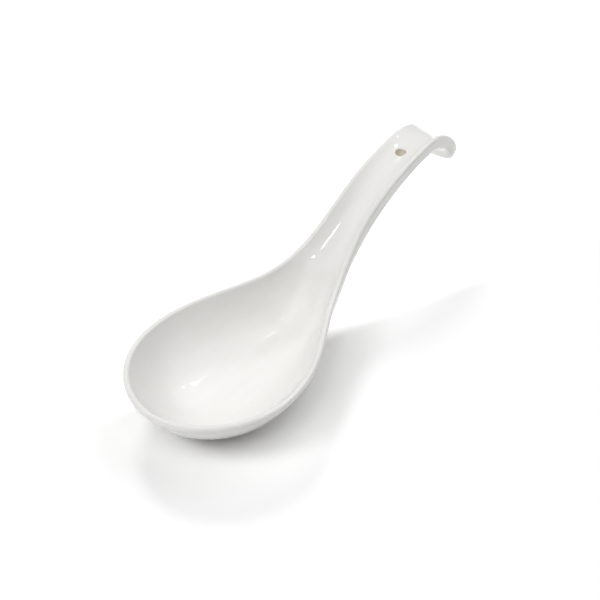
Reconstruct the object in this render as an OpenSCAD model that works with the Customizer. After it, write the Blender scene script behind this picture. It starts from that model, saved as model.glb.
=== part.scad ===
// Porcelain soup spoon with a deep egg-shaped bowl and a hooked channel handle.
// The spoon is drawn flat, as a lip outline with a depth under it, and then bent along its side line.
// Distances along the spoon are measured on the unbent lip line, from the tip of the bowl.

/* [Bowl] */
// From the tip of the bowl to its widest point
belly_from_tip = 33; // [27:0.5:40]
// Width of the bowl between the middles of its lips
belly_width = 58; // [48:0.5:66]
// How far the tip's curve runs across before it turns, as a share of half the width
tip_fullness = 0.47; // [0.35:0.01:0.65]
// How far the belly's curve runs forward before it turns, as a share of its distance from the tip
front_fullness = 0.6; // [0.45:0.01:0.75]
// Depth from the middle of the lip to the middle of the floor
bowl_depth = 17.2; // [13:0.1:22]
// Shape of the bowl's section: 2 is a parabola, and more gives a flatter floor
bowl_section = 2.9; // [2.2:0.05:3.6]
// How the wall thins from the floor to the lip: 2 is even, and more keeps it thick for longer
bowl_thinning = 2; // [1.6:0.1:3]
// Thickness of the bowl's floor, glaze included
bowl_floor = 4.1; // [3.2:0.1:5]
// Thickness of the lip, glaze included
lip_thickness = 2.6; // [2:0.1:3.2]
// Width of the flat bare foot
foot_width = 18.5; // [14:0.5:23]

/* [Neck] */
// From the widest point to where the shoulders have become the handle
shoulder_length = 87; // [77:0.5:97]
// How far the bowl's fullness carries towards the handle
shoulder_lead = 28.5; // [22:0.5:36]
// How far the handle's slimness carries towards the bowl
neck_lead = 48; // [40:0.5:56]
// From the widest point to where the floor starts to rise
ramp_from_belly = 38; // [33:0.5:43]
// Length over which the floor rises into the handle
ramp_length = 24; // [20:0.5:30]
// From the widest point to the joint between the bowl and the handle
joint_from_belly = 62; // [54:0.5:70]
// Shape of the neck's sides and underside: 2 is an ellipse, and more gives taller sides
neck_squareness = 2.5; // [2:0.1:3.5]

/* [Handle] */
// Width of the handle between the middles of its lips
handle_width = 13.2; // [11:0.1:16]
// From the end of the shoulders to the rounded end
handle_length = 56; // [46:0.5:68]
// Depth from the middle of the lip to the middle of the channel's floor
channel_depth = 3.9; // [3:0.1:5]
// Shape of the channel's section: 2 is a parabola, and more gives a flatter floor
channel_section = 2; // [2:0.05:3]
// Thickness of the channel's floor, glaze included
handle_floor = 3.8; // [3.2:0.1:4.8]
// Shape of the handle's sides and underside: 2 is an ellipse, and more gives taller sides
handle_squareness = 5.5; // [3.5:0.1:7.5]

/* [Hook] */
// Width of the rounded end between the middles of its lips
end_width = 13; // [10.5:0.1:15]
// Length of the rounded end
end_length = 9.5; // [7:0.5:12]
// How square the rounded end is
end_fullness = 0.85; // [0.6:0.01:0.95]
// Depth of the channel where it runs out over the end
end_depth = 0.8; // [0.6:0.1:2.4]
// Thickness of the floor at the end, glaze included
end_floor = 5; // [4.2:0.1:6]

/* [Side line] */
// From the widest point to where the neck starts to bend up
neck_bend_from_belly = 36.5; // [31:0.5:42]
// Length of the neck's bend
neck_bend_length = 40; // [33:0.5:47]
// Angle of the neck's bend
neck_bend_angle = 37; // [28:0.5:43]
// From the widest point to where the handle starts to arch over
arch_from_belly = 48.5; // [42:0.5:55]
// Length of the arch
arch_length = 80.5; // [70:0.5:90]
// Angle of the arch
arch_angle = 35.5; // [27:0.5:41]
// Length of the hook's bend, which ends at the tip of the handle
hook_length = 35; // [28:0.5:42]
// Angle of the hook's bend
hook_angle = 61.5; // [54:0.5:76]

/* [Hanging hole] */
// Diameter of the hole
hole_diameter = 4; // [3:0.1:5]
// From the end of the handle to the middle of the hole
hole_from_end = 37.5; // [32:0.5:44]

/* [Glaze] */
// Thickness of the glaze
glaze_thickness = 0.4; // [0.2:0.05:0.5]
// Height above the foot at which the outer glaze stops
dry_edge = 0.4; // [0.2:0.05:0.8]

/* [Hidden] */

porcelain = "#ece7dd";
glaze = "#f6f4ef";

// Stations along the lip line
belly_at = belly_from_tip;
joint_at = belly_at + joint_from_belly;
shoulder_end = belly_at + shoulder_length;
end_at = shoulder_end + handle_length;
tip_at = end_at + end_length;
ramp_at = belly_at + ramp_from_belly;
ramp_end = ramp_at + ramp_length;
neck_bend_at = belly_at + neck_bend_from_belly;
arch_at = belly_at + arch_from_belly;
hook_at = tip_at - hook_length;
hole_at = tip_at - hole_from_end;

// Half widths of the lip line
belly_half = belly_width / 2;
handle_half = handle_width / 2;
end_half = end_width / 2;

// The foot plane cuts this much off the rounded floor, glaze included, which leaves the foot its width
foot_cut = bowl_depth * pow(foot_width / belly_width, bowl_section) + glaze_thickness;
rim_height = bowl_depth + bowl_floor / 2 - foot_cut;

// Fineness of the mesh
front_rays = 13;
bowl_sections = 20;
handle_sections = 26;
end_rays = 7;
wall_steps = 8;
lip_steps = 4;
outline_steps = 40;
line_step = 0.5;
line_overrun = 5;
hole_facets = 48;
cut_margin = 10;

function smooth(t) = let (c = max(0, min(1, t))) c * c * (3 - 2 * c);
function blend(a, b, t) = a + (b - a) * smooth(t);

// Point on a cubic curve with two end points and two control points
function curve(p, t) = let (u = 1 - t)
    u * u * u * p[0] + 3 * u * u * t * p[1] + 3 * u * t * t * p[2] + t * t * t * p[3];
function curve_points(p, steps) = [for (k = [0:steps]) curve(p, k / steps)];

// Lip outline as [distance along, half width]
front_curve = [
    [0, 0],
    [0, tip_fullness * belly_half],
    [belly_at * (1 - front_fullness), belly_half],
    [belly_at, belly_half]
];
shoulder_curve = [
    [belly_at, belly_half],
    [belly_at + shoulder_lead, belly_half],
    [shoulder_end - neck_lead, handle_half],
    [shoulder_end, handle_half]
];
handle_curve = [
    [shoulder_end, handle_half],
    [shoulder_end + handle_length / 3, handle_half],
    [end_at - handle_length / 3, end_half],
    [end_at, end_half]
];
end_curve = [
    [end_at, end_half],
    [end_at + end_fullness * end_length, end_half],
    [tip_at, end_fullness * end_half],
    [tip_at, 0]
];
side_outline = concat(curve_points(shoulder_curve, outline_steps), curve_points(handle_curve, outline_steps));
function half_width(s) = lookup(s, side_outline);

// Side line: the slope at each distance, and the points that it leads through
function slope(s) =
    neck_bend_angle * smooth((s - neck_bend_at) / neck_bend_length)
    - arch_angle * smooth((s - arch_at) / arch_length)
    - hook_angle * smooth((s - hook_at) / hook_length);
side_line = [
    for (
        s = -line_overrun, x = -line_overrun, z = 0;
        s <= tip_at + line_overrun;
        x = x + line_step * cos(slope(s + line_step / 2)),
        z = z + line_step * sin(slope(s + line_step / 2)),
        s = s + line_step
    ) [s, x, z]
];
line_x = [for (p = side_line) [p[0], p[1]]];
line_z = [for (p = side_line) [p[0], p[2]]];

// Bends a point of the flat spoon, at height h over the lip line, into its place
function bent(s, y, h) = [
    lookup(s, line_x) - h * sin(slope(s)) - belly_at,
    y,
    lookup(s, line_z) + h * cos(slope(s)) + rim_height
];

// What changes along the spoon, from the bowl to the handle
function along(bowl, handle, s) = blend(bowl, handle, (s - ramp_at) / ramp_length);
function to_end(s) = smooth((s - ramp_end) / (end_at - ramp_end));
function floor_depth(s) = along(bowl_depth, channel_depth, s) + (end_depth - channel_depth) * to_end(s);
function floor_thickness(s) = along(bowl_floor, handle_floor, s) + (end_floor - handle_floor) * to_end(s);
function squareness(s) = blend(neck_squareness, handle_squareness, (s - joint_at) / (shoulder_end - joint_at));

// A ray runs from the middle of the floor to the lip: [station, length, along, across, rise]
function ray(station, rim, open_end) = let (
    run = rim - [station, 0],
    length = norm(run),
    rise = open_end ? pow(run[1] / length, 2) : 1
) [station, length, run[0] / length, run[1] / length, rise];
stations = concat(
    [for (k = [0:bowl_sections]) belly_at + joint_from_belly * k / bowl_sections],
    [for (k = [1:handle_sections]) joint_at + (end_at - joint_at) * k / handle_sections]
);
rays = concat(
    [for (k = [0:front_rays - 1]) ray(belly_at, curve(front_curve, k / front_rays), false)],
    [for (s = stations) ray(s, [s, half_width(s)], false)],
    [for (k = [1:end_rays]) ray(end_at, curve(end_curve, k / end_rays), true)]
);
last_ray = len(rays) - 1;
joint_ray = front_rays + bowl_sections;
end_ray = last_ray - end_rays;

// Half section along a ray, as [distance, height], from the inside floor over the lip to the outside floor
function half_section(r, inset) = let (
    depth = floor_depth(r[0]),
    power = along(bowl_section, channel_section, r[0]),
    lip = lip_thickness / 2,
    over = along(bowl_floor / 2, lip, r[0]),
    under = floor_thickness(r[0]) - over,
    rise = depth * r[4],
    shares = [for (k = [0:wall_steps]) sin(90 * k / wall_steps)],
    middle = [for (v = shares) [r[1] * v, rise * pow(v, power) - depth]],
    slopes = [for (v = shares) [r[1], rise * power * pow(v, power - 1)]],
    up = [for (d = slopes) [-d[1], d[0]] / norm(d)],
    inner = [for (v = shares) over + (lip - over) * pow(v, bowl_thinning) - inset],
    outer = [for (v = shares) under + (lip - under) * pow(v, bowl_thinning) - inset],
    bowl_side = [for (k = [0:wall_steps]) middle[k] - outer[k] * up[k]],
    corner = squareness(r[0]),
    hang = [for (v = shares) pow(1 - pow(v, corner), 1 / corner)],
    handle_side = [
        for (k = [0:wall_steps])
            [(r[1] + lip - inset) * shares[k], rise - depth - (rise + under - inset) * hang[k]]
    ],
    out = slopes[wall_steps] / norm(slopes[wall_steps]),
    turned = along(180, 90 + atan2(out[1], out[0]), r[0]),
    turns = [for (k = [1:lip_steps]) turned * k / lip_steps]
) concat(
    [for (k = [0:wall_steps]) middle[k] + inner[k] * up[k]],
    [for (a = turns) middle[wall_steps] + (lip - inset) * (cos(a) * up[wall_steps] + sin(a) * out)],
    [for (k = [wall_steps - 1:-1:0]) along(bowl_side[k], handle_side[k], r[0])]
);
last_point = 2 * wall_steps + lip_steps;
crest_point = wall_steps + lip_steps / 2;

// Points of one side of the spoon; side is 1 for the right and -1 for the left
function side_points(r, side, inset) =
    [for (p = half_section(r, inset)) bent(r[0] + p[0] * r[2], side * p[0] * r[3], p[1])];

// Points of a whole skin: the inside floor line, the outside floor line, then each ray round the spoon
floor_count = end_ray - front_rays + 1;
ray_points = last_point - 1;
function skin(inset) = let (
    right = [for (r = rays) side_points(r, 1, inset)],
    left = [for (r = rays) side_points(r, -1, inset)],
    round = concat(right, [for (k = [last_ray - 1:-1:1]) left[k]])
) concat(
    [for (k = [front_rays:end_ray]) right[k][0]],
    [for (k = [front_rays:end_ray]) right[k][last_point]],
    [for (points = round) for (j = [1:ray_points]) points[j]]
);
skin_count = 2 * floor_count + 2 * last_ray * ray_points;

// Number of point j on ray i in a skin; negative rays are on the left
function floor_number(i) = max(front_rays, min(end_ray, abs(i))) - front_rays;
function point_number(i, j) =
    j == 0 ? floor_number(i) :
    j == last_point ? floor_count + floor_number(i) :
    2 * floor_count + (i < 0 ? 2 * last_ray + i : i) * ray_points + j - 1;

// Two triangles for a four-sided patch, or one where two of its corners meet
function patch(a, b, c, d) = [
    for (t = [[a, b, c], [a, c, d]])
        if (t[0] != t[1] && t[1] != t[2] && t[2] != t[0]) t
];
function strips(order, from, to, first) = [
    for (k = [0:len(order) - 2])
        for (j = [from:to - 1])
            each patch(
                first + point_number(order[k], j),
                first + point_number(order[k + 1], j),
                first + point_number(order[k + 1], j + 1),
                first + point_number(order[k], j + 1)
            )
];
function flipped(faces) = [for (f = faces) [for (k = [len(f) - 1:-1:0]) f[k]]];

// Flat face across the spoon at a ray, in patches without hollow corners
function half_face(i) = concat(
    [
        for (j = [0:wall_steps - 1])
            [for (k = [j, j + 1, last_point - j - 1, last_point - j]) point_number(i, k)]
    ],
    [[for (j = [wall_steps:last_point - wall_steps]) point_number(i, j)]]
);
function section_faces(i) = concat(half_face(i), flipped(half_face(-i)));

// Rays in order round each piece
bowl_order = [for (i = [-joint_ray:joint_ray]) i];
handle_order = concat([for (i = [joint_ray:last_ray]) i], [for (i = [last_ray - 1:-1:joint_ray]) -i]);
whole_order = concat([for (i = [0:last_ray]) i], [for (i = [last_ray - 1:-1:0]) -i]);

module bored() {
    difference() {
        children();
        translate(bent(hole_at, 0, 0))
            rotate([0, -slope(hole_at), 0])
                cylinder(d = hole_diameter, h = 4 * cut_margin, center = true, $fn = hole_facets);
    }
}

module cut_below(height) {
    size = 2 * (tip_at + cut_margin);
    difference() {
        children();
        translate([-size / 2, -size / 2, height - size])
            cube(size);
    }
}

// Glaze between the bare skin and the finished skin, from point from to point to of each ray
module coat(from, to, edge) {
    points = concat(skin(0), skin(glaze_thickness));
    rim = [
        for (k = [0:len(whole_order) - 2])
            each patch(
                point_number(whole_order[k], edge),
                point_number(whole_order[k + 1], edge),
                skin_count + point_number(whole_order[k + 1], edge),
                skin_count + point_number(whole_order[k], edge)
            )
    ];
    polyhedron(points, concat(
        strips(whole_order, from, to, 0),
        flipped(strips(whole_order, from, to, skin_count)),
        edge == to ? flipped(rim) : rim
    ));
}

module bowl() {
    color(porcelain)
        cut_below(0)
            polyhedron(skin(glaze_thickness), concat(
                strips(bowl_order, 0, last_point, 0),
                section_faces(joint_ray)
            ));
}

module handle() {
    color(porcelain)
        bored()
            polyhedron(skin(glaze_thickness), concat(
                strips(handle_order, 0, last_point, 0),
                flipped(section_faces(joint_ray))
            ));
}

module upper_glaze() {
    color(glaze)
        bored()
            coat(0, crest_point, crest_point);
}

module lower_glaze() {
    color(glaze)
        bored()
            cut_below(dry_edge)
                coat(crest_point, last_point, crest_point);
}

bowl();
handle();
upper_glaze();
lower_glaze();
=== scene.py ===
import math

import bmesh
import bpy
from mathutils import Matrix, Vector


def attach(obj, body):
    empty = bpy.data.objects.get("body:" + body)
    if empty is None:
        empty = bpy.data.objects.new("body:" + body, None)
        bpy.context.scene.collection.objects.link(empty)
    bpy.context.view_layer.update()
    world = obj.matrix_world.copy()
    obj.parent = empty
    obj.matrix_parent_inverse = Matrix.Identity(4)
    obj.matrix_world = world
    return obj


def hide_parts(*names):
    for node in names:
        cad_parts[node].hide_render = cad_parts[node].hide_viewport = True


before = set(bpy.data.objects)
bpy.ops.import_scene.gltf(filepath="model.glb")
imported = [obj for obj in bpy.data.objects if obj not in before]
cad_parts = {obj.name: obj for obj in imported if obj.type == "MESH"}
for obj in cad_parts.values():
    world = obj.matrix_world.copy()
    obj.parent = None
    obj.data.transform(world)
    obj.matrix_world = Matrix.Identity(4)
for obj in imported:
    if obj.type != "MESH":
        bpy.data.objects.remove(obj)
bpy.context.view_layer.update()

# Sizes of the spoon in millimetres and degrees, as in the part's source

mm = 0.001

belly_from_tip = 33.0
belly_half = 29.0
tip_fullness = 0.47
front_fullness = 0.6
bowl_depth = 17.2
bowl_section = 2.9
bowl_thinning = 2.0
bowl_floor = 4.1
lip_thickness = 2.6
foot_width = 18.5

shoulder_length = 87.0
shoulder_lead = 28.5
neck_lead = 48.0
ramp_from_belly = 38.0
ramp_length = 24.0
joint_from_belly = 62.0
neck_squareness = 2.5

handle_half = 6.6
handle_length = 56.0
channel_depth = 3.9
channel_section = 2.0
handle_floor = 3.8
handle_squareness = 5.5

end_half = 6.5
end_length = 9.5
end_fullness = 0.85
end_depth = 0.8
end_floor = 5.0

neck_bend_from_belly = 36.5
neck_bend_length = 40.0
neck_bend_angle = 37.0
arch_from_belly = 48.5
arch_length = 80.5
arch_angle = 35.5
hook_length = 35.0
hook_angle = 61.5

hole_radius = 2.0
hole_from_end = 37.5
glaze_thickness = 0.4
dry_edge = 0.4

# The skin lies this far inside the solids, whose flat facets are lower than the curves they follow
skin_inset = 0.1
# The drawn coat is thinner than the glaze, so that its inside stays clear of the body under it
coat_thickness = 0.28
# Glaze runs a little way into the hole and rounds its edges
hole_lining = 0.08
hole_rounding = 0.4

# Stations along the lip line

belly_at = belly_from_tip
joint_at = belly_at + joint_from_belly
shoulder_end = belly_at + shoulder_length
end_at = shoulder_end + handle_length
tip_at = end_at + end_length
ramp_at = belly_at + ramp_from_belly
ramp_end = ramp_at + ramp_length
neck_bend_at = belly_at + neck_bend_from_belly
arch_at = belly_at + arch_from_belly
hook_at = tip_at - hook_length
hole_at = tip_at - hole_from_end

lip_half = lip_thickness / 2
foot_share = foot_width / (2 * belly_half)
foot_cut = bowl_depth * foot_share ** bowl_section + glaze_thickness
rim_height = bowl_depth + bowl_floor / 2 - foot_cut

# Fineness of the meshes

front_rays = 40
station_step = 1.25
foot_stations = 14
foot_tail = 9.0
hole_stations = 14
hole_reach = 3.8
end_rays = 22
wall_steps = 24
lip_steps = 12
hole_rings = 5
rounding_steps = 5
bore_steps = 3
line_step = 0.25
line_overrun = 6.0
halvings = 40

quarter_turn = math.pi / 2


# Shape of the spoon

def smooth(t):
    c = max(0.0, min(1.0, t))
    return c * c * (3 - 2 * c)


def along(bowl, handle, s):
    """Value at a station that goes from the bowl's to the handle's over the ramp."""
    return bowl + (handle - bowl) * smooth((s - ramp_at) / ramp_length)


def halved(low, high, before):
    """Place between low and high up to which the test holds, found by halving."""
    for _ in range(halvings):
        middle = (low + high) / 2
        if before(middle):
            low = middle
        else:
            high = middle
    return high


def curve(points, t):
    u = 1 - t
    shares = (u * u * u, 3 * u * u * t, 3 * u * t * t, t * t * t)
    return tuple(sum(k * p[n] for k, p in zip(shares, points)) for n in (0, 1))


front_curve = (
    (0.0, 0.0),
    (0.0, tip_fullness * belly_half),
    (belly_at * (1 - front_fullness), belly_half),
    (belly_at, belly_half),
)
shoulder_curve = (
    (belly_at, belly_half),
    (belly_at + shoulder_lead, belly_half),
    (shoulder_end - neck_lead, handle_half),
    (shoulder_end, handle_half),
)
handle_curve = (
    (shoulder_end, handle_half),
    (shoulder_end + handle_length / 3, handle_half),
    (end_at - handle_length / 3, end_half),
    (end_at, end_half),
)
end_curve = (
    (end_at, end_half),
    (end_at + end_fullness * end_length, end_half),
    (tip_at, end_fullness * end_half),
    (tip_at, 0.0),
)


def half_width(s):
    side = shoulder_curve if s < shoulder_end else handle_curve
    return curve(side, halved(0.0, 1.0, lambda t: curve(side, t)[0] < s))[1]


def slope(s):
    """Angle of the side line at a station."""
    neck = neck_bend_angle * smooth((s - neck_bend_at) / neck_bend_length)
    arch = arch_angle * smooth((s - arch_at) / arch_length)
    hook = hook_angle * smooth((s - hook_at) / hook_length)
    return math.radians(neck - arch - hook)


def side_line():
    """The lip line seen from the side, in short steps, with some to spare at both ends."""
    points = []
    x = -line_overrun
    z = 0.0
    for k in range(int((tip_at + 2 * line_overrun) / line_step) + 1):
        points.append((x, z))
        middle = -line_overrun + (k + 0.5) * line_step
        x += line_step * math.cos(slope(middle))
        z += line_step * math.sin(slope(middle))
    return points


line_points = side_line()


def bent(s, y, h):
    """Point of the flat spoon, at a station, distance from the middle and height, after bending."""
    place = (s + line_overrun) / line_step
    k = max(0, min(len(line_points) - 2, int(place)))
    t = place - k
    x = line_points[k][0] * (1 - t) + line_points[k + 1][0] * t
    z = line_points[k][1] * (1 - t) + line_points[k + 1][1] * t
    a = slope(s)
    return Vector((x - h * math.sin(a) - belly_at, y, z + h * math.cos(a) + rim_height))


def to_end(s):
    return smooth((s - ramp_end) / (end_at - ramp_end))


def floor_depth(s):
    return along(bowl_depth, channel_depth, s) + (end_depth - channel_depth) * to_end(s)


def floor_thickness(s):
    return along(bowl_floor, handle_floor, s) + (end_floor - handle_floor) * to_end(s)


def floor_over(s):
    """How much of the floor's thickness lies above the curve of the section."""
    return along(bowl_floor / 2, lip_half, s)


def squareness(s):
    share = smooth((s - joint_at) / (shoulder_end - joint_at))
    return neck_squareness + (handle_squareness - neck_squareness) * share


def ray(station, rim, open_end=False):
    """Line from the middle at a station to a point on the rim, which falls to the floor at an open end."""
    run = (rim[0] - station, rim[1])
    length = math.hypot(run[0], run[1])
    across = run[1] / length
    rise = across * across if open_end else 1.0
    return {"at": station, "length": length, "along": run[0] / length, "across": across, "rise": rise}


def cross_ray(s):
    return ray(s, (s, half_width(s)))


def step_share(k):
    """Share of a ray at a step, with the steps closer together towards the lip."""
    return math.sin(quarter_turn * k / wall_steps)


def wall(r, share, inset):
    """Middle of the wall, its normal and tangent, and its thickness over (1) and under (-1) it."""
    depth = floor_depth(r["at"])
    power = along(bowl_section, channel_section, r["at"])
    over = floor_over(r["at"])
    under = floor_thickness(r["at"]) - over
    rise = depth * r["rise"]
    middle = Vector((r["length"] * share, rise * share ** power - depth))
    tangent = Vector((r["length"], rise * power * share ** (power - 1) if share > 0 else 0.0)).normalized()
    thickness = {
        1: over + (lip_half - over) * share ** bowl_thinning - inset,
        -1: under + (lip_half - under) * share ** bowl_thinning - inset,
    }
    return middle, Vector((-tangent.y, tangent.x)), tangent, thickness


def handle_side(r, share, inset):
    """Point on the handle's rounded side and underside."""
    depth = floor_depth(r["at"])
    rise = depth * r["rise"]
    power = squareness(r["at"])
    hang = (1 - share ** power) ** (1 / power)
    height = rise + floor_thickness(r["at"]) - floor_over(r["at"]) - inset
    return Vector(((r["length"] + lip_half - inset) * share, rise - depth - height * hang))


def wall_point(r, share, face, inset):
    """Distance along the ray and height of a point on the upper (1) or lower (-1) face."""
    middle, up, _, thickness = wall(r, share, inset)
    point = middle + face * thickness[face] * up
    if face == 1 or r["at"] <= ramp_at:
        return point
    return point.lerp(handle_side(r, share, inset), along(0.0, 1.0, r["at"]))


def placed(r, point, side):
    """Point of a ray's section in the bent spoon, on the left (1) or right (-1) side."""
    return bent(r["at"] + point.x * r["along"], side * point.x * r["across"], point.y)


def share_at_height(r, height, inset):
    """Share of the ray at which the lower face reaches this height, or 0 where it is never lower."""
    def is_below(share):
        return placed(r, wall_point(r, share, -1, inset), 1).z < height

    return halved(0.0, 1.0, is_below) if is_below(0.0) else 0.0


def foot_end(height, inset):
    """Station at which the lower face's middle line lifts off the foot."""
    def is_below(s):
        r = cross_ray(s)
        return placed(r, wall_point(r, 0.0, -1, inset), 1).z < height

    return halved(belly_at, joint_at, is_below)


def spread(start, end, step):
    """Even stations from the start up to, and without, the end."""
    count = max(1, round((end - start) / step))
    return [start + (end - start) * k / count for k in range(count)]


def half_section(r, inset, foot_height):
    """Points of a ray, from the upper face's middle over the lip to the lower face's middle or foot."""
    points = [wall_point(r, step_share(k), 1, inset) for k in range(wall_steps + 1)]
    middle, up, tangent, thickness = wall(r, 1.0, inset)
    turned = along(math.pi, quarter_turn + math.atan2(tangent.y, tangent.x), r["at"])
    for k in range(1, lip_steps + 1):
        a = turned * k / lip_steps
        points.append(middle + thickness[1] * (math.cos(a) * up + math.sin(a) * tangent))
    start = math.asin(share_at_height(r, foot_height, inset))
    for k in range(wall_steps - 1, -1, -1):
        a = start + (quarter_turn - start) * k / wall_steps
        points.append(wall_point(r, math.sin(a), -1, inset))
    return points, start > 0


# Meshes

class Skin:
    """Vertices and faces of the spoon's surface, built ray by ray on both sides."""

    def __init__(self, inset, foot_height, last_station=None):
        self.inset = inset
        self.foot_height = foot_height
        self.points = []
        self.faces = []
        self.rays = []
        self.numbers = {1: [], -1: []}
        self.last_station = last_station
        self.make_rays()
        self.number_points()

    def make_rays(self):
        for k in range(front_rays):
            self.rays.append(ray(belly_at, curve(front_curve, k / front_rays)))
        self.first_station = front_rays
        foot = foot_end(self.foot_height, self.inset)
        stations = spread(belly_at, foot - foot_tail, station_step)
        stations += [foot - foot_tail * (1 - k / foot_stations) ** 2 for k in range(foot_stations)]
        if self.last_station:
            stations += spread(foot, self.last_station, station_step) + [self.last_station]
        else:
            stations += spread(foot, hole_at - hole_reach, station_step)
            hole_step = 2 * hole_reach / hole_stations
            stations += [hole_at - hole_reach + hole_step * k for k in range(hole_stations)]
            stations += spread(hole_at + hole_reach, end_at, station_step) + [end_at]
        self.stations = stations
        for s in stations:
            self.rays.append(cross_ray(s))
        self.end_ray = len(self.rays) - 1
        if not self.last_station:
            for k in range(1, end_rays + 1):
                self.rays.append(ray(end_at, curve(end_curve, k / end_rays), True))

    def add(self, point):
        self.points.append(point * mm)
        return len(self.points) - 1

    def number_points(self):
        upper_middle = {}
        lower_middle = {}
        self.on_foot = []
        for i, r in enumerate(self.rays):
            points, on_foot = half_section(r, self.inset, self.foot_height)
            self.on_foot.append(on_foot)
            station = max(self.first_station, min(self.end_ray, i))
            if station not in upper_middle:
                upper_middle[station] = self.add(placed(r, points[0], 1))
            if not on_foot and station not in lower_middle:
                lower_middle[station] = self.add(placed(r, points[-1], 1))
            shared = i == 0 or (i == len(self.rays) - 1 and not self.last_station)
            for side in (1, -1):
                if shared and side == -1:
                    self.numbers[-1].append(self.numbers[1][i])
                    continue
                row = [upper_middle[station]]
                row += [self.add(placed(r, p, side)) for p in points[1:-1]]
                row.append(self.add(placed(r, points[-1], side)) if on_foot else lower_middle[station])
                self.numbers[side].append(row)

    def face(self, corners):
        kept = []
        for c in corners:
            if c not in kept:
                kept.append(c)
        if len(kept) > 2:
            self.faces.append(kept)

    def strips(self, left_out):
        """Faces between neighbouring rays, apart from those in the left out places."""
        for side in (1, -1):
            rows = self.numbers[side]
            for i in range(len(rows) - 1):
                for j in range(len(rows[i]) - 1):
                    if not left_out(i, j):
                        corners = (rows[i][j], rows[i + 1][j], rows[i + 1][j + 1], rows[i][j + 1])
                        self.face(corners[::side])

    def foot_loop(self):
        right = [self.numbers[1][i][-1] for i in range(len(self.rays)) if self.on_foot[i]]
        left = [self.numbers[-1][i][-1] for i in range(1, len(self.rays)) if self.on_foot[i]]
        lift = self.on_foot.index(False)
        return right + [self.numbers[1][lift][-1]] + left[::-1]


def share_at_side(r, y, face, inset):
    """Share of the ray at which a face lies this far from the middle of the spoon."""
    return halved(0.0, 1.0, lambda share: wall_point(r, share, face, inset).x < y)


def surface_point(s, y, face, inset):
    r = cross_ray(s)
    share = share_at_side(r, abs(y), face, inset)
    return placed(r, wall_point(r, share, face, inset), math.copysign(1, y))


def add_hole(skin):
    """Opens the hanging hole in a skin, with rounded edges and a round wall between the two faces."""
    first = skin.first_station + min(
        range(len(skin.stations)), key=lambda k: abs(skin.stations[k] - hole_at + hole_reach)
    )
    last = first + hole_stations
    width = next(k for k in range(wall_steps) if handle_half * step_share(k) > hole_reach)
    final = 2 * wall_steps + lip_steps
    skin.strips(lambda i, j: first <= i < last and (j < width or j >= final - width))

    radius = hole_radius - hole_lining
    turn = slope(hole_at)
    centre = bent(hole_at, 0.0, 0.0)
    forward = Vector((math.cos(turn), 0.0, math.sin(turn)))
    across = Vector((0.0, 1.0, 0.0))
    upward = Vector((-math.sin(turn), 0.0, math.cos(turn)))

    # Places round the edge of the opening in the grid: ray, step along it and side
    edge = [(first, k, 1) for k in range(width)]
    edge += [(i, width, 1) for i in range(first, last)]
    edge += [(last, k, 1) for k in range(width, 0, -1)]
    edge += [(last, k, -1) for k in range(width)]
    edge += [(i, width, -1) for i in range(last, first, -1)]
    edge += [(first, k, -1) for k in range(width, 0, -1)]

    loops = {}
    for face in (1, -1):
        columns = []
        for i, k, side in edge:
            r = skin.rays[i]
            share = step_share(k)
            angle = math.atan2(side * handle_half * share, r["at"] - hole_at)
            out = wall_point(r, share, face, skin.inset).x * side
            number = skin.numbers[side][i][k if face == 1 else final - k]
            start = radius + hole_rounding
            column = [number]
            for n in range(1, hole_rings + 1):
                t = n / hole_rings
                s = r["at"] * (1 - t) + (hole_at + start * math.cos(angle)) * t
                y = out * (1 - t) + start * math.sin(angle) * t
                column.append(skin.add(surface_point(s, y, face, skin.inset)))
            begin = skin.points[column[-1]] / mm - centre
            level = begin.dot(upward)
            for n in range(1, rounding_steps + 1):
                a = quarter_turn * n / rounding_steps
                away = radius + hole_rounding * (1 - math.sin(a))
                height = level - face * hole_rounding * (1 - math.cos(a))
                outward = math.cos(angle) * forward + math.sin(angle) * across
                column.append(skin.add(centre + away * outward + height * upward))
            columns.append(column)
        loops[face] = [c[-1] for c in columns]
        for n in range(len(columns)):
            here = columns[n]
            after = columns[(n + 1) % len(columns)]
            for k in range(len(here) - 1):
                corners = (here[k], after[k], after[k + 1], here[k + 1])
                skin.face(corners[::-face])

    # The wall of the hole
    upper = loops[1]
    lower = loops[-1]
    rows = [upper]
    for n in range(1, bore_steps):
        t = n / bore_steps
        rows.append([
            skin.add((skin.points[a] * (1 - t) + skin.points[b] * t) / mm) for a, b in zip(upper, lower)
        ])
    rows.append(lower)
    first_wall_face = len(skin.faces)
    for n in range(bore_steps):
        for k in range(len(upper)):
            m = (k + 1) % len(upper)
            skin.face((rows[n][m], rows[n][k], rows[n + 1][k], rows[n + 1][m]))
    return range(first_wall_face, len(skin.faces))


def mesh_object(name, skin, material):
    mesh = bpy.data.meshes.new(name)
    mesh.from_pydata(skin.points, [], skin.faces)
    bm = bmesh.new()
    bm.from_mesh(mesh)
    bmesh.ops.recalc_face_normals(bm, faces=bm.faces)
    bm.to_mesh(mesh)
    bm.free()
    mesh.shade_smooth()
    mesh.materials.append(material)
    piece = bpy.data.objects.new(name, mesh)
    bpy.context.scene.collection.objects.link(piece)
    return piece


def direction(turn, rise):
    a = math.radians(turn)
    e = math.radians(rise)
    return Vector((math.cos(a) * math.cos(e), math.sin(a) * math.cos(e), math.sin(e)))


# Materials

# Sizes of the patterns in millimetres, and how far the streaks are drawn out along the spoon
streak_width = 3.5
streak_squeeze = 0.14
speck_spacing = 11.0
speck_core = 0.165
speck_edge = 0.33
glaze_wave_width = 12.0
glaze_wave_height = 0.03
grit_width = 0.8
grit_height = 0.03

# Painted light whitens the table beyond a line across it, behind the spoon, and far from the spoon's
# middle:
# turn of the way to the line, where each patch of painted light starts and is full in millimetres, and its
# strength
painted_light_turn = 63.4
line_painted_light = (10.0, 18.0)
far_painted_light = (200.0, 450.0)
painted_light_strength = 0.4
spoon_middle = Vector((0.05, 0.0, 0.0))


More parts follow.
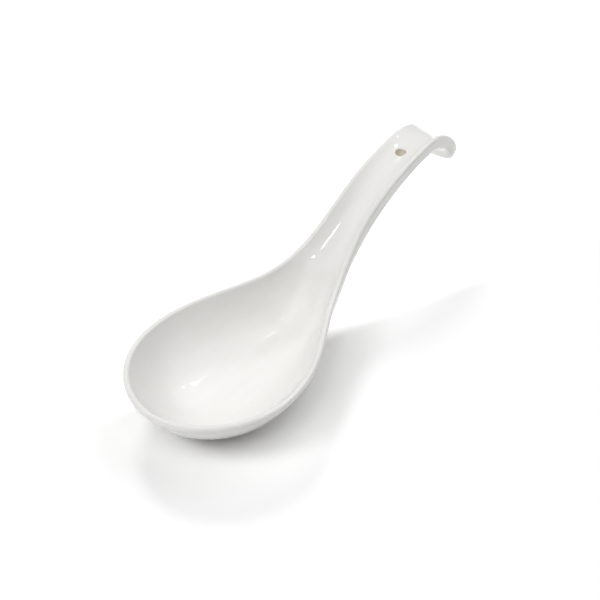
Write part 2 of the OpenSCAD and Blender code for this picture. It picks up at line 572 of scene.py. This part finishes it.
def linear(colour):
    """Linear values of an sRGB hex colour."""
    values = []
    for k in (1, 3, 5):
        c = int(colour[k:k + 2], 16) / 255
        values.append(c / 12.92 if c <= 0.04045 else ((c + 0.055) / 1.055) ** 2.4)
    return (*values, 1.0)


def add_node(tree, kind, settings=None, links=None):
    """Node with its settings and links, which go by the name or number of a socket."""
    node = tree.nodes.new(kind)
    for name, value in (settings or {}).items():
        if isinstance(name, int) or name in node.inputs:
            node.inputs[name].default_value = value
        else:
            setattr(node, name, value)
    for name, source in (links or {}).items():
        tree.links.new(source, node.inputs[name])
    return node


def new_material(name):
    material = bpy.data.materials.new(name)
    material.use_nodes = True
    material.node_tree.nodes.clear()
    return material, material.node_tree


def waves_per_metre(size_mm):
    return 1.0 / (size_mm * mm)


def glazed_porcelain():
    # Slip-cast porcelain under a clear fired glaze: a warm white with a wet gloss.
    # Faint streaks run along the spoon where the clay was wiped, the glaze lies a little uneven,
    # so highlights waver, and a few faint specks show in it.
    material, tree = new_material("glazed_porcelain")
    place = add_node(tree, "ShaderNodeTexCoord")
    drawn_out = add_node(
        tree, "ShaderNodeMapping",
        {"Scale": (streak_squeeze, 1.0, 1.0)},
        {"Vector": place.outputs["Object"]},
    )
    streaks = add_node(
        tree, "ShaderNodeTexNoise",
        {"Scale": waves_per_metre(streak_width), "Detail": 3.0, "Roughness": 0.6},
        {"Vector": drawn_out.outputs["Vector"]},
    )
    tint = add_node(tree, "ShaderNodeValToRGB", links={"Fac": streaks.outputs["Fac"]})
    for k, (position, colour) in enumerate(((0.3, "#f3f2ef"), (0.7, "#f6f5f3"))):
        tint.color_ramp.elements[k].position = position
        tint.color_ramp.elements[k].color = linear(colour)
    cells = add_node(
        tree, "ShaderNodeTexVoronoi",
        {"Scale": waves_per_metre(speck_spacing)},
        {"Vector": place.outputs["Object"]},
    )
    # Real specks are about 0.1 mm across, drawn at about 0.5 mm so that they show at all
    speck = add_node(
        tree, "ShaderNodeMapRange",
        {
            "From Min": speck_core / speck_spacing,
            "From Max": speck_edge / speck_spacing,
            "To Min": 0.35,
            "To Max": 0.0,
        },
        {"Value": cells.outputs["Distance"]},
    )
    specked = add_node(
        tree, "ShaderNodeMix",
        {"data_type": "RGBA", 7: linear("#b9b2a6")},
        {"Factor": speck.outputs["Result"], 6: tint.outputs["Color"]},
    )
    waves = add_node(
        tree, "ShaderNodeTexNoise",
        {"Scale": waves_per_metre(glaze_wave_width), "Detail": 1.0},
        {"Vector": place.outputs["Object"]},
    )
    gloss = add_node(
        tree, "ShaderNodeMapRange",
        {"From Min": 0.3, "From Max": 0.7, "To Min": 0.035, "To Max": 0.06},
        {"Value": waves.outputs["Fac"]},
    )
    bump = add_node(
        tree, "ShaderNodeBump",
        {"Strength": 1.0, "Distance": glaze_wave_height * mm},
        {"Height": waves.outputs["Fac"]},
    )
    shader = add_node(
        tree, "ShaderNodeBsdfPrincipled",
        {"IOR": 1.5},
        {
            "Base Color": specked.outputs[2],
            "Roughness": gloss.outputs["Result"],
            "Normal": bump.outputs["Normal"],
        },
    )
    add_node(tree, "ShaderNodeOutputMaterial", links={"Surface": shader.outputs["BSDF"]})
    return material


def bare_porcelain():
    # Fired porcelain wiped free of glaze: a dry, slightly creamier white with a fine grit.
    # Real grit is under 0.1 mm, drawn coarser so that it shows.
    material, tree = new_material("bare_porcelain")
    place = add_node(tree, "ShaderNodeTexCoord")
    grit = add_node(
        tree, "ShaderNodeTexNoise",
        {"Scale": waves_per_metre(grit_width), "Detail": 3.0},
        {"Vector": place.outputs["Object"]},
    )
    tint = add_node(tree, "ShaderNodeValToRGB", links={"Fac": grit.outputs["Fac"]})
    for k, (position, colour) in enumerate(((0.25, "#ddd5c6"), (0.75, "#ece6da"))):
        tint.color_ramp.elements[k].position = position
        tint.color_ramp.elements[k].color = linear(colour)
    bump = add_node(
        tree, "ShaderNodeBump",
        {"Strength": 1.0, "Distance": grit_height * mm},
        {"Height": grit.outputs["Fac"]},
    )
    shader = add_node(
        tree, "ShaderNodeBsdfPrincipled",
        {"IOR": 1.5, "Roughness": 0.72},
        {"Base Color": tint.outputs["Color"], "Normal": bump.outputs["Normal"]},
    )
    add_node(tree, "ShaderNodeOutputMaterial", links={"Surface": shader.outputs["BSDF"]})
    return material


def white_table():
    # Matt white board that takes the shadow. A second coat, which only the camera and the gloss see,
    # whitens it, and painted light, an emission that only they see, whitens it further behind the spoon,
    # over part of the handle's shadow, and far from it.
    material, tree = new_material("white_table")
    board = add_node(tree, "ShaderNodeBsdfDiffuse", {"Color": linear("#f2f2f2")})
    coat = add_node(tree, "ShaderNodeBsdfDiffuse", {"Color": linear("#828282")})
    place = add_node(tree, "ShaderNodeTexCoord")
    depth = add_node(
        tree, "ShaderNodeVectorMath",
        {"operation": "DOT_PRODUCT", 1: direction(painted_light_turn, 0)},
        {0: place.outputs["Object"]},
    )
    away = add_node(
        tree, "ShaderNodeVectorMath",
        {"operation": "DISTANCE", 1: spoon_middle},
        {0: place.outputs["Object"]},
    )
    # Where the painted light lies: beyond the line behind the spoon, and far from the spoon's middle
    stronger = add_node(tree, "ShaderNodeMath", {"operation": "MAXIMUM"})
    for k, (measure, (start, full)) in enumerate(((depth, line_painted_light), (away, far_painted_light))):
        painted_light_share = add_node(
            tree, "ShaderNodeMapRange",
            {
                "interpolation_type": "SMOOTHSTEP",
                "From Min": start * mm,
                "From Max": full * mm,
                "To Max": painted_light_strength,
            },
            {"Value": measure.outputs["Value"]},
        )
        tree.links.new(painted_light_share.outputs["Result"], stronger.inputs[k])
    # Painted light on the table: an emission, not a lamp, that hides part of the handle's shadow behind
    # the spoon
    painted_light = add_node(
        tree, "ShaderNodeEmission",
        {"Color": linear("#ffffff")},
        {"Strength": stronger.outputs[0]},
    )
    seen_board = board.outputs[0]
    for extra in (coat, painted_light):
        both = add_node(tree, "ShaderNodeAddShader", links={0: seen_board, 1: extra.outputs[0]})
        seen_board = both.outputs[0]
    path = add_node(tree, "ShaderNodeLightPath")
    seen = path.outputs["Is Camera Ray"]
    for ray_kind in ("Is Glossy Ray", "Is Transmission Ray"):
        either = add_node(
            tree, "ShaderNodeMath",
            {"operation": "MAXIMUM"},
            {0: seen, 1: path.outputs[ray_kind]},
        )
        seen = either.outputs[0]
    choice = add_node(
        tree, "ShaderNodeMixShader", links={"Fac": seen, 1: board.outputs[0], 2: seen_board}
    )
    add_node(tree, "ShaderNodeOutputMaterial", links={"Surface": choice.outputs[0]})
    return material


glaze_material = glazed_porcelain()
bare_material = bare_porcelain()


# Glaze over the whole spoon, open at the foot

glaze_skin = Skin(skin_inset, dry_edge)
hole_wall = add_hole(glaze_skin)
glaze = mesh_object("glaze", glaze_skin, glaze_material)
# The wall of the hanging hole is bare
glaze.data.materials.append(bare_material)
for k in hole_wall:
    glaze.data.polygons[k].material_index = 1
coat = glaze.modifiers.new("coat", "SOLIDIFY")
coat.thickness = coat_thickness * mm
coat.offset = -1.0
coat.use_rim = True
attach(glaze, "root")
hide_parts("upper_glaze", "lower_glaze")

# Bare body of the bowl, which shows on the foot and is closed at the foot and at the neck

bowl_skin = Skin(glaze_thickness, 0.0, joint_at)
bowl_skin.strips(lambda i, j: False)
bowl_skin.face(bowl_skin.foot_loop())
bowl_skin.face(bowl_skin.numbers[1][-1] + bowl_skin.numbers[-1][-1][-2:0:-1])
bowl_body = mesh_object("bowl_body", bowl_skin, bare_material)
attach(bowl_body, "root")
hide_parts("bowl")

# The handle's body stays as built, under the glaze

handle_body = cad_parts["handle"]
handle_body.data.materials.clear()
handle_body.data.materials.append(bare_material)

# Table

table_reach = 1.2
table_corners = [(x * table_reach, y * table_reach, 0) for x, y in ((-1, -1), (1, -1), (1, 1), (-1, 1))]
table_mesh = bpy.data.meshes.new("table")
table_mesh.from_pydata(table_corners, [], [(0, 1, 2, 3)])
table_mesh.materials.append(white_table())
table = bpy.data.objects.new("table", table_mesh)
bpy.context.scene.collection.objects.link(table)


# Light

lit_point = spoon_middle + Vector((0.0, 0.0, 0.02))
lamp_distance = 3.0


def add_lamp(name, turn, rise, width, height, share, shows):
    """Oval lamp, its width and height in degrees, that lights a level surface by this share of white."""
    data = bpy.data.lights.new(name, "AREA")
    data.shape = "ELLIPSE"
    data.size = 2 * lamp_distance * math.tan(math.radians(width / 2))
    data.size_y = 2 * lamp_distance * math.tan(math.radians(height / 2))
    data.energy = share * math.pi ** 2 * lamp_distance ** 2 / math.sin(math.radians(rise))
    lamp = bpy.data.objects.new(name, data)
    way = direction(turn, rise)
    lamp.location = lit_point + way * lamp_distance
    lamp.rotation_euler = way.to_track_quat("Z", "Y").to_euler()
    lamp.visible_glossy = shows
    bpy.context.scene.collection.objects.link(lamp)


# Broad lamps that shade the spoon and draw its shadows, kept out of the gloss
add_lamp("front_left_lamp", 180, 55, 34, 34, 0.205, False)
add_lamp("left_lamp", 150, 45, 20, 20, 0.17, False)
add_lamp("back_left_lamp", 50, 39, 14, 14, 0.14, False)

# Small lamps that draw the highlights
add_lamp("bowl_highlight", 7, 53.8, 8, 2, 0.008, True)
add_lamp("hook_highlight", 358, 46, 2, 2, 0.002, True)
add_lamp("lip_highlight", 46, 39, 3, 3, 0.003, True)
add_lamp("neck_highlight", 243, 64, 4.5, 7, 0.026, True)

# Brighter places of the tent: turn, rise and reach in degrees, and strength
tent_glows = (
    (180, 55, 40, 0.35),
    (215, 62, 35, 0.6),
    (0, 25, 60, 0.34),
    (340, 50, 40, 0.88),
    (300, 40, 30, 0.35),
)
mirrored_cloth = 0.4


def white_tent():
    # White cloth tent round the table, which glows in the brighter places and lights the spoon from there.
    # The camera sees plain white, and the gloss also mirrors a pale cloth between those places.
    world = bpy.data.worlds.new("tent")
    world.use_nodes = True
    tree = world.node_tree
    tree.nodes.clear()
    place = add_node(tree, "ShaderNodeTexCoord")
    path = add_node(tree, "ShaderNodeLightPath")
    glow = add_node(
        tree, "ShaderNodeMath",
        {"operation": "MULTIPLY", 1: mirrored_cloth},
        {0: path.outputs["Is Glossy Ray"]},
    )
    for turn, rise, reach, strength in tent_glows:
        nearness = add_node(
            tree, "ShaderNodeVectorMath",
            {"operation": "DOT_PRODUCT", 1: direction(turn, rise)},
            {0: place.outputs["Generated"]},
        )
        spot = add_node(
            tree, "ShaderNodeMapRange",
            {
                "interpolation_type": "SMOOTHSTEP",
                "From Min": math.cos(math.radians(reach)),
                "To Max": strength,
            },
            {"Value": nearness.outputs["Value"]},
        )
        glow = add_node(
            tree, "ShaderNodeMath",
            {"operation": "ADD"},
            {0: glow.outputs[0], 1: spot.outputs["Result"]},
        )
    cloth = add_node(
        tree, "ShaderNodeBackground",
        {"Color": linear("#ffffff")},
        {"Strength": glow.outputs[0]},
    )
    white = add_node(tree, "ShaderNodeBackground", {"Color": linear("#ffffff"), "Strength": 1.0})
    choice = add_node(
        tree, "ShaderNodeMixShader",
        links={"Fac": path.outputs["Is Camera Ray"], 1: cloth.outputs[0], 2: white.outputs[0]},
    )
    add_node(tree, "ShaderNodeOutputWorld", links={"Surface": choice.outputs[0]})
    return world


bpy.context.scene.world = white_tent()

# Camera

camera_aim = Vector((0.0602, 0.0092, 0.0))
camera_turn = 214.21
camera_rise = 39.21
camera_distance = 0.6141

camera_data = bpy.data.cameras.new("camera")
camera_data.sensor_width = 36.0
camera_data.sensor_fit = "HORIZONTAL"
camera_data.lens = 102.9
camera_data.clip_start = 0.01
camera = bpy.data.objects.new("camera", camera_data)
back = direction(camera_turn, camera_rise)
camera.location = camera_aim + back * camera_distance
right = Vector((0.0, 0.0, 1.0)).cross(back).normalized()
camera.rotation_euler = Matrix((right, back.cross(right), back)).transposed().to_euler()
bpy.context.scene.collection.objects.link(camera)
bpy.context.scene.camera = camera

bpy.context.scene.view_settings.view_transform = "Standard"
